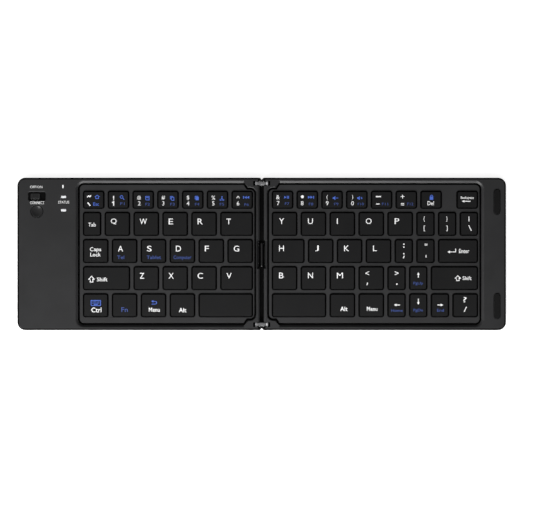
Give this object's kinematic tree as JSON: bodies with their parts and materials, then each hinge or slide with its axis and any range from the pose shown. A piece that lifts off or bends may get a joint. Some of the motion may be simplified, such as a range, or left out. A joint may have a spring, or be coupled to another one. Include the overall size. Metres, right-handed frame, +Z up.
{
  "type": "folding keyboard",
  "caption": "Slim two-part keyboard that folds shut like a book on a double pin hinge, with flat keys, a power slider and a round button.",
  "frame": {"origin": "middle of the hinge and of the depth, on the surface that the feet stand on", "axes": "+X to the right along the rows of keys, +Y to the back edge, +Z up out of the keys"},
  "size_m": [0.3044, 0.095, 0.0081],
  "materials": {
    "casing_plastic": "fine matt texture",
    "cover_plastic": "fine matt texture",
    "deck_plastic": "satin",
    "key_plastic": "satin",
    "button_plastic": "satin",
    "black_plate": "matt black coat",
    "switch_foil": "printed black",
    "dome_rubber": "matt",
    "foot_rubber": "matt",
    "screw_steel": "plated",
    "hinge_steel": "nickel plated",
    "board_laminate": "lacquered",
    "chip_plastic": "matt",
    "pouch_foil": "satin",
    "socket_steel": "plated",
    "light_plastic": "milky",
    "flex_foil": "black film",
    "legend_white": "printed",
    "legend_blue": "printed"
  },
  "bodies": {
    "left_half": {"left_housing": "casing_plastic", "left_bottom_cover": "cover_plastic", "left_key_deck": "deck_plastic", "left_base_plate": "black_plate", "left_membrane": "switch_foil", "left_rubber_domes": "dome_rubber", "left_feet": "foot_rubber", "left_screws": "screw_steel", "circuit_board": "board_laminate", "board_parts": "chip_plastic", "battery_cell": "pouch_foil", "charging_socket": "socket_steel", "status_lights": "light_plastic"},
    "spine": {"hinge_spine": "black_plate", "hinge_links": "hinge_steel", "hinge_pins": "hinge_steel", "cable_cover": "button_plastic", "flex_cable": "flex_foil"},
    "right_half": {"right_housing": "casing_plastic", "right_bottom_cover": "cover_plastic", "right_key_deck": "deck_plastic", "right_base_plate": "black_plate", "right_membrane": "switch_foil", "right_rubber_domes": "dome_rubber", "right_feet": "foot_rubber", "right_screws": "screw_steel", "bumper_pads": "foot_rubber"},
    "power_slider": {"power_slider": "button_plastic"},
    "connect_button": {"connect_button": "button_plastic"},
    "key_q": {"key_q": "key_plastic"},
    "key_w": {"key_w": "key_plastic"},
    "key_e": {"key_e": "key_plastic"},
    "key_r": {"key_r": "key_plastic"},
    "key_t": {"key_t": "key_plastic"},
    "key_a": {"key_a": "key_plastic"},
    "key_s": {"key_s": "key_plastic"},
    "key_d": {"key_d": "key_plastic"},
    "key_f": {"key_f": "key_plastic"},
    "key_g": {"key_g": "key_plastic"},
    "key_z": {"key_z": "key_plastic"},
    "key_x": {"key_x": "key_plastic"},
    "key_c": {"key_c": "key_plastic"},
    "key_v": {"key_v": "key_plastic"},
    "key_y": {"key_y": "key_plastic"},
    "key_u": {"key_u": "key_plastic"},
    "key_i": {"key_i": "key_plastic"},
    "key_o": {"key_o": "key_plastic"},
    "key_p": {"key_p": "key_plastic"},
    "key_h": {"key_h": "key_plastic"},
    "key_j": {"key_j": "key_plastic"},
    "key_k": {"key_k": "key_plastic"},
    "key_l": {"key_l": "key_plastic"},
    "key_b": {"key_b": "key_plastic"},
    "key_n": {"key_n": "key_plastic"},
    "key_m": {"key_m": "key_plastic"},
    "left_space_key": {"left_space_key": "key_plastic"},
    "right_space_key": {"right_space_key": "key_plastic"},
    "left_side_keys": {"left_side_keys": "key_plastic"},
    "right_number_keys": {"right_number_keys": "key_plastic"},
    "right_side_keys": {"right_side_keys": "key_plastic"}
  },
  "joints": [
    {"name": "fold_left", "type": "hinge", "parent": "left_half", "child": "spine", "pos_m": [-0.0036, 0, 0.0044], "axis": [0, -1, 0], "range_deg": [0, 90], "deforming": ["flex_cable"]},
    {"name": "fold_right", "type": "hinge", "parent": "spine", "child": "right_half", "pos_m": [0.0036, 0, 0.0044], "axis": [0, -1, 0], "range_deg": [0, 90], "deforming": ["flex_cable"]},
    {"name": "power_slide", "type": "slide", "parent": "left_half", "child": "power_slider", "axis": [1, 0, 0], "range_m": [0, 0.002]},
    {"name": "connect_press", "type": "slide", "parent": "left_half", "child": "connect_button", "axis": [0, 0, -1], "range_m": [0, 0.0004], "stiffness_N_per_m": 1500, "springref_m": -0.0001},
    {"name": "key_q_press", "type": "slide", "parent": "left_half", "child": "key_q", "axis": [0, 0, -1], "range_m": [0, 0.0013], "stiffness_N_per_m": 400, "springref_m": -0.0003, "deforming": ["left_rubber_domes"]},
    {"name": "key_w_press", "type": "slide", "parent": "left_half", "child": "key_w", "axis": [0, 0, -1], "range_m": [0, 0.0013], "stiffness_N_per_m": 400, "springref_m": -0.0003, "deforming": ["left_rubber_domes"]},
    {"name": "key_e_press", "type": "slide", "parent": "left_half", "child": "key_e", "axis": [0, 0, -1], "range_m": [0, 0.0013], "stiffness_N_per_m": 400, "springref_m": -0.0003, "deforming": ["left_rubber_domes"]},
    {"name": "key_r_press", "type": "slide", "parent": "left_half", "child": "key_r", "axis": [0, 0, -1], "range_m": [0, 0.0013], "stiffness_N_per_m": 400, "springref_m": -0.0003, "deforming": ["left_rubber_domes"]},
    {"name": "key_t_press", "type": "slide", "parent": "left_half", "child": "key_t", "axis": [0, 0, -1], "range_m": [0, 0.0013], "stiffness_N_per_m": 400, "springref_m": -0.0003, "deforming": ["left_rubber_domes"]},
    {"name": "key_a_press", "type": "slide", "parent": "left_half", "child": "key_a", "axis": [0, 0, -1], "range_m": [0, 0.0013], "stiffness_N_per_m": 400, "springref_m": -0.0003, "deforming": ["left_rubber_domes"]},
    {"name": "key_s_press", "type": "slide", "parent": "left_half", "child": "key_s", "axis": [0, 0, -1], "range_m": [0, 0.0013], "stiffness_N_per_m": 400, "springref_m": -0.0003, "deforming": ["left_rubber_domes"]},
    {"name": "key_d_press", "type": "slide", "parent": "left_half", "child": "key_d", "axis": [0, 0, -1], "range_m": [0, 0.0013], "stiffness_N_per_m": 400, "springref_m": -0.0003, "deforming": ["left_rubber_domes"]},
    {"name": "key_f_press", "type": "slide", "parent": "left_half", "child": "key_f", "axis": [0, 0, -1], "range_m": [0, 0.0013], "stiffness_N_per_m": 400, "springref_m": -0.0003, "deforming": ["left_rubber_domes"]},
    {"name": "key_g_press", "type": "slide", "parent": "left_half", "child": "key_g", "axis": [0, 0, -1], "range_m": [0, 0.0013], "stiffness_N_per_m": 400, "springref_m": -0.0003, "deforming": ["left_rubber_domes"]},
    {"name": "key_z_press", "type": "slide", "parent": "left_half", "child": "key_z", "axis": [0, 0, -1], "range_m": [0, 0.0013], "stiffness_N_per_m": 400, "springref_m": -0.0003, "deforming": ["left_rubber_domes"]},
    {"name": "key_x_press", "type": "slide", "parent": "left_half", "child": "key_x", "axis": [0, 0, -1], "range_m": [0, 0.0013], "stiffness_N_per_m": 400, "springref_m": -0.0003, "deforming": ["left_rubber_domes"]},
    {"name": "key_c_press", "type": "slide", "parent": "left_half", "child": "key_c", "axis": [0, 0, -1], "range_m": [0, 0.0013], "stiffness_N_per_m": 400, "springref_m": -0.0003, "deforming": ["left_rubber_domes"]},
    {"name": "key_v_press", "type": "slide", "parent": "left_half", "child": "key_v", "axis": [0, 0, -1], "range_m": [0, 0.0013], "stiffness_N_per_m": 400, "springref_m": -0.0003, "deforming": ["left_rubber_domes"]},
    {"name": "key_y_press", "type": "slide", "parent": "right_half", "child": "key_y", "axis": [0, 0, -1], "range_m": [0, 0.0013], "stiffness_N_per_m": 400, "springref_m": -0.0003, "deforming": ["right_rubber_domes"]},
    {"name": "key_u_press", "type": "slide", "parent": "right_half", "child": "key_u", "axis": [0, 0, -1], "range_m": [0, 0.0013], "stiffness_N_per_m": 400, "springref_m": -0.0003, "deforming": ["right_rubber_domes"]},
    {"name": "key_i_press", "type": "slide", "parent": "right_half", "child": "key_i", "axis": [0, 0, -1], "range_m": [0, 0.0013], "stiffness_N_per_m": 400, "springref_m": -0.0003, "deforming": ["right_rubber_domes"]},
    {"name": "key_o_press", "type": "slide", "parent": "right_half", "child": "key_o", "axis": [0, 0, -1], "range_m": [0, 0.0013], "stiffness_N_per_m": 400, "springref_m": -0.0003, "deforming": ["right_rubber_domes"]},
    {"name": "key_p_press", "type": "slide", "parent": "right_half", "child": "key_p", "axis": [0, 0, -1], "range_m": [0, 0.0013], "stiffness_N_per_m": 400, "springref_m": -0.0003, "deforming": ["right_rubber_domes"]},
    {"name": "key_h_press", "type": "slide", "parent": "right_half", "child": "key_h", "axis": [0, 0, -1], "range_m": [0, 0.0013], "stiffness_N_per_m": 400, "springref_m": -0.0003, "deforming": ["right_rubber_domes"]},
    {"name": "key_j_press", "type": "slide", "parent": "right_half", "child": "key_j", "axis": [0, 0, -1], "range_m": [0, 0.0013], "stiffness_N_per_m": 400, "springref_m": -0.0003, "deforming": ["right_rubber_domes"]},
    {"name": "key_k_press", "type": "slide", "parent": "right_half", "child": "key_k", "axis": [0, 0, -1], "range_m": [0, 0.0013], "stiffness_N_per_m": 400, "springref_m": -0.0003, "deforming": ["right_rubber_domes"]},
    {"name": "key_l_press", "type": "slide", "parent": "right_half", "child": "key_l", "axis": [0, 0, -1], "range_m": [0, 0.0013], "stiffness_N_per_m": 400, "springref_m": -0.0003, "deforming": ["right_rubber_domes"]},
    {"name": "key_b_press", "type": "slide", "parent": "right_half", "child": "key_b", "axis": [0, 0, -1], "range_m": [0, 0.0013], "stiffness_N_per_m": 400, "springref_m": -0.0003, "deforming": ["right_rubber_domes"]},
    {"name": "key_n_press", "type": "slide", "parent": "right_half", "child": "key_n", "axis": [0, 0, -1], "range_m": [0, 0.0013], "stiffness_N_per_m": 400, "springref_m": -0.0003, "deforming": ["right_rubber_domes"]},
    {"name": "key_m_press", "type": "slide", "parent": "right_half", "child": "key_m", "axis": [0, 0, -1], "range_m": [0, 0.0013], "stiffness_N_per_m": 400, "springref_m": -0.0003, "deforming": ["right_rubber_domes"]},
    {"name": "left_space_key_press", "type": "slide", "parent": "left_half", "child": "left_space_key", "axis": [0, 0, -1], "range_m": [0, 0.0013], "stiffness_N_per_m": 400, "springref_m": -0.0003, "deforming": ["left_rubber_domes"]},
    {"name": "right_space_key_press", "type": "slide", "parent": "right_half", "child": "right_space_key", "axis": [0, 0, -1], "range_m": [0, 0.0013], "stiffness_N_per_m": 400, "springref_m": -0.0003, "deforming": ["right_rubber_domes"]},
    {"name": "left_side_keys_press", "type": "slide", "parent": "left_half", "child": "left_side_keys", "axis": [0, 0, -1], "range_m": [0, 0.0013], "stiffness_N_per_m": 400, "springref_m": -0.0003, "deforming": ["left_rubber_domes"]},
    {"name": "right_number_keys_press", "type": "slide", "parent": "right_half", "child": "right_number_keys", "axis": [0, 0, -1], "range_m": [0, 0.0013], "stiffness_N_per_m": 400, "springref_m": -0.0003, "deforming": ["right_rubber_domes"]},
    {"name": "right_side_keys_press", "type": "slide", "parent": "right_half", "child": "right_side_keys", "axis": [0, 0, -1], "range_m": [0, 0.0013], "stiffness_N_per_m": 400, "springref_m": -0.0003, "deforming": ["right_rubber_domes"]}
  ]
}
